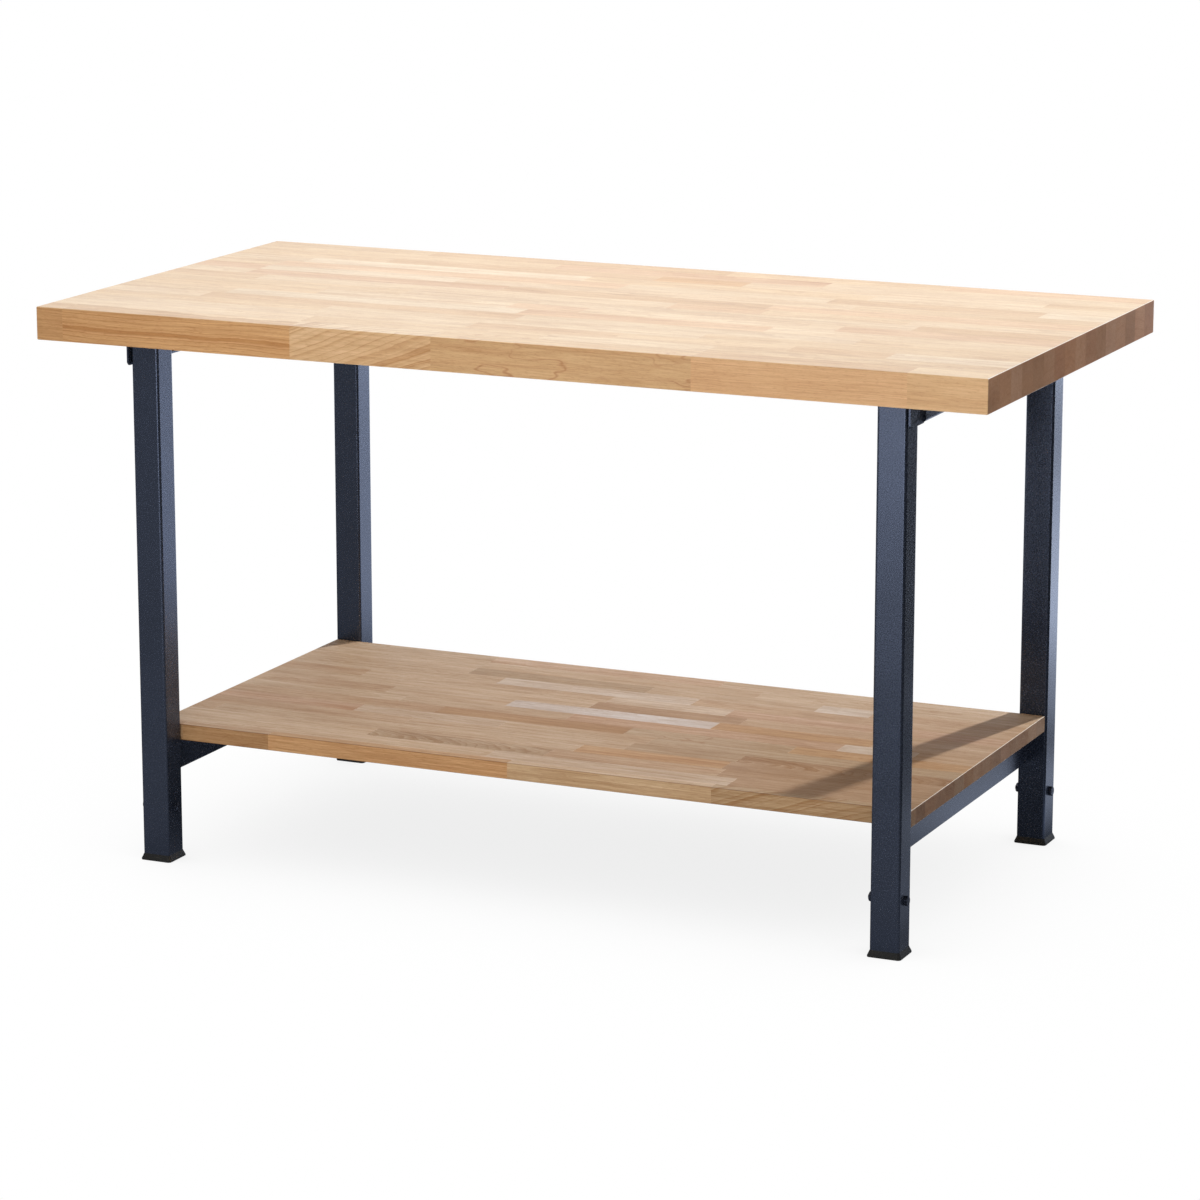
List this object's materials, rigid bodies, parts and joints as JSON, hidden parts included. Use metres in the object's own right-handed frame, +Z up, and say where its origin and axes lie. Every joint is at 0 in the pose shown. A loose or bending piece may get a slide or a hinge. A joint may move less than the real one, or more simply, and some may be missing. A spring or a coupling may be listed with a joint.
{
  "type": "assembly table",
  "caption": "Free-standing workshop assembly table: thick block-board top on square steel legs with sliding feet, and a low storage shelf between two side frames.",
  "frame": {"origin": "on the floor under the middle of the worktop, with the feet fully in", "axes": "+X along the table to the right seen from the front, +Y to the back, +Z up"},
  "size_m": [1.5, 0.75, 0.854],
  "materials": {
    "worktop_beech": "oiled block board, satin",
    "shelf_beech": "oiled block board, satin",
    "frame_coat": "anthracite blue powder coat, fine texture, semi-gloss",
    "foot_tube_zinc": "zinc plated",
    "foot_plastic": "moulded, matt",
    "clamp_bolt_dark": "black oxide",
    "screw_zinc": "zinc plated"
  },
  "bodies": {
    "table": {"worktop": "worktop_beech", "shelf_board": "shelf_beech", "leg_front_left": "frame_coat", "head_bracket_front_left": "frame_coat", "leg_front_right": "frame_coat", "head_bracket_front_right": "frame_coat", "leg_rear_left": "frame_coat", "head_bracket_rear_left": "frame_coat", "leg_rear_right": "frame_coat", "head_bracket_rear_right": "frame_coat", "crossbeam_left": "frame_coat", "shelf_rail_left": "frame_coat", "crossbeam_right": "frame_coat", "shelf_rail_right": "frame_coat", "clamp_bolts": "clamp_bolt_dark", "clamp_washers": "clamp_bolt_dark", "clamp_nuts": "clamp_bolt_dark", "crossbeam_bolts": "screw_zinc", "crossbeam_washers": "screw_zinc", "crossbeam_nuts": "screw_zinc", "worktop_screws": "screw_zinc", "shelf_screws": "screw_zinc"},
    "foot_front_left": {"foot_tube_front_left": "foot_tube_zinc", "foot_cap_front_left": "foot_plastic"},
    "foot_front_right": {"foot_tube_front_right": "foot_tube_zinc", "foot_cap_front_right": "foot_plastic"},
    "foot_rear_left": {"foot_tube_rear_left": "foot_tube_zinc", "foot_cap_rear_left": "foot_plastic"},
    "foot_rear_right": {"foot_tube_rear_right": "foot_tube_zinc", "foot_cap_rear_right": "foot_plastic"}
  },
  "joints": [
    {"name": "foot_front_left_slide", "type": "slide", "parent": "table", "child": "foot_front_left", "axis": [0, 0, -1], "range_m": [0, 0.1]},
    {"name": "foot_front_right_slide", "type": "slide", "parent": "table", "child": "foot_front_right", "axis": [0, 0, -1], "range_m": [0, 0.1]},
    {"name": "foot_rear_left_slide", "type": "slide", "parent": "table", "child": "foot_rear_left", "axis": [0, 0, -1], "range_m": [0, 0.1]},
    {"name": "foot_rear_right_slide", "type": "slide", "parent": "table", "child": "foot_rear_right", "axis": [0, 0, -1], "range_m": [0, 0.1]}
  ]
}
